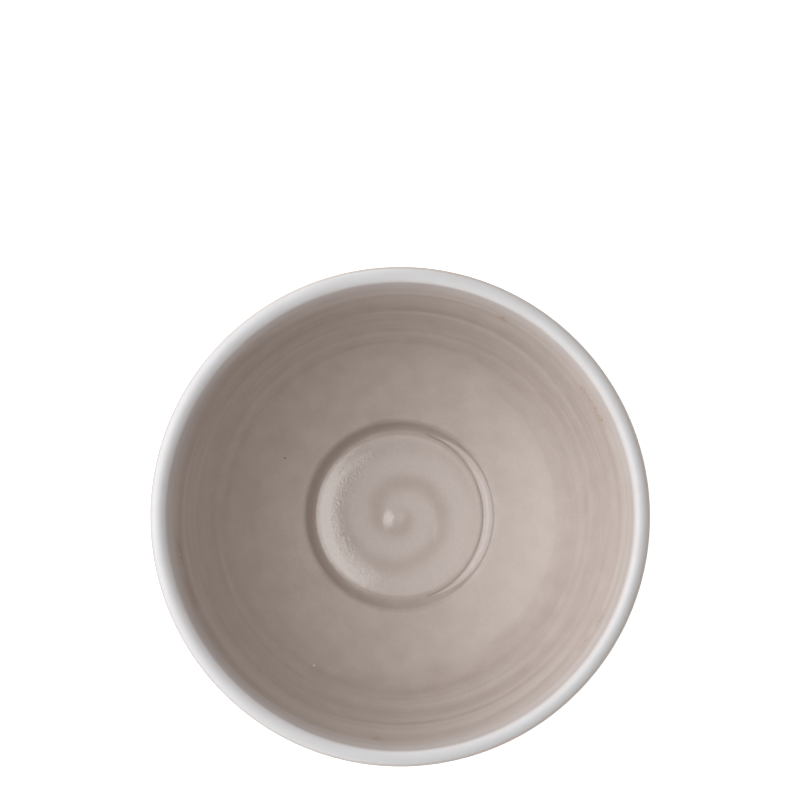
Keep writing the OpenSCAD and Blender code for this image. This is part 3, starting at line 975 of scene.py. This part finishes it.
# %% [markdown]
# ## Floor
#
# The photograph has a pure white ground without a shadow, as shops like it. A plain sheet that
# glows a little does the same and still catches a faint shadow. Its glow must not wash out
# the outside of the bowl, so it is hidden from the light that bounces off other things. It lies
# a hair's breadth below the foot, because two faces in one plane would flicker.

# %% Floor
FLOOR_HALF, FLOOR_GAP = 8.0, 0.00005
FLOOR_WHITE, FLOOR_ROUGH, FLOOR_SHINE, FLOOR_GLOW = 0.86, 0.9, 0.1, 0.78


def floor_sheet():
    """A square sheet a hair's breadth below the foot's resting face."""
    mesh = bpy.data.meshes.new("floor")
    corners = FLOOR_HALF * np.array([[-1, -1, 0], [1, -1, 0], [1, 1, 0], [-1, 1, 0]], float)
    corners[:, 2] = -FLOOR_GAP
    mesh.from_pydata(corners, [], [[0, 1, 2, 3]])
    sheet = bpy.data.objects.new("floor", mesh)
    bpy.context.scene.collection.objects.link(sheet)
    sheet.visible_diffuse = False
    material, tree, shader = new_material("floor_paper")
    shader.inputs["Base Color"].default_value = (FLOOR_WHITE,) * 3 + (1.0,)
    shader.inputs["Roughness"].default_value = FLOOR_ROUGH
    shader.inputs["Specular IOR Level"].default_value = FLOOR_SHINE
    shader.inputs["Emission Color"].default_value = (1.0, 1.0, 1.0, 1.0)
    shader.inputs["Emission Strength"].default_value = FLOOR_GLOW
    mesh.materials.append(material)


floor_sheet()

# %% [markdown]
# ## Light
#
# The lining is bright on the right and dark on the left, so the main light stands on the left
# and a little behind. It is large, because the change is soft. A second, small one hangs
# nearly overhead and gives the gleam in the well. Three low, weak ones round the bowl stand for
# the bright walls of a light tent and lift the outer side of the lip. The rest comes from all
# round.

# %% Lights
# Azimuth from +X towards +Y and elevation in degrees, distance and size in metres, power in
# watts, and colour
LIGHTS = {
    "main_light": (170, 38, 1.9, 2.4, 47.5, (1.0, 1.0, 1.0)),
    "top_light": (5, 76, 1.6, 0.5, 3.5, (1.0, 0.99, 0.97)),
    "low_right": (-5, 5, 1.6, 0.3, 4.5, (1.0, 1.0, 1.0)),
    "low_back": (95, 6, 1.6, 0.3, 5.8, (1.0, 1.0, 1.0)),
    "low_front": (-105, 9, 1.6, 0.3, 6.6, (1.0, 1.0, 1.0)),
}
AIM = np.array([0, 0, 0.04])
ROOM_COLOUR, ROOM_STRENGTH = (1.0, 0.95, 0.9, 1.0), 0.195


def soft_light(name, azimuth, elevation, distance, size, watts, colour):
    """A square light that faces the bowl, hidden from the camera. Its way back from the bowl
    is the cosine and sine of the azimuth, both times the cosine of the elevation, and the
    sine of the elevation."""
    data = bpy.data.lights.new(name, "AREA")
    data.size = size
    data.energy = watts
    data.color = colour
    lamp = bpy.data.objects.new(name, data)
    a, e = math.radians(azimuth), math.radians(elevation)
    back = np.array([math.cos(a) * math.cos(e), math.sin(a) * math.cos(e), math.sin(e)])
    lamp.location = back * distance + AIM
    lamp.rotation_mode = "QUATERNION"
    lamp.rotation_quaternion = Vector(back).to_track_quat("Z", "Y")
    lamp.visible_camera = False
    bpy.context.scene.collection.objects.link(lamp)


for name, setting in LIGHTS.items():
    soft_light(name, *setting)
room = bpy.data.worlds.new("room")
room.use_nodes = True
background = room.node_tree.nodes["Background"]
background.inputs["Color"].default_value = ROOM_COLOUR
background.inputs["Strength"].default_value = ROOM_STRENGTH
bpy.context.scene.world = room
bpy.context.scene.view_settings.view_transform = "Standard"
print(len(LIGHTS), "lights and the room")
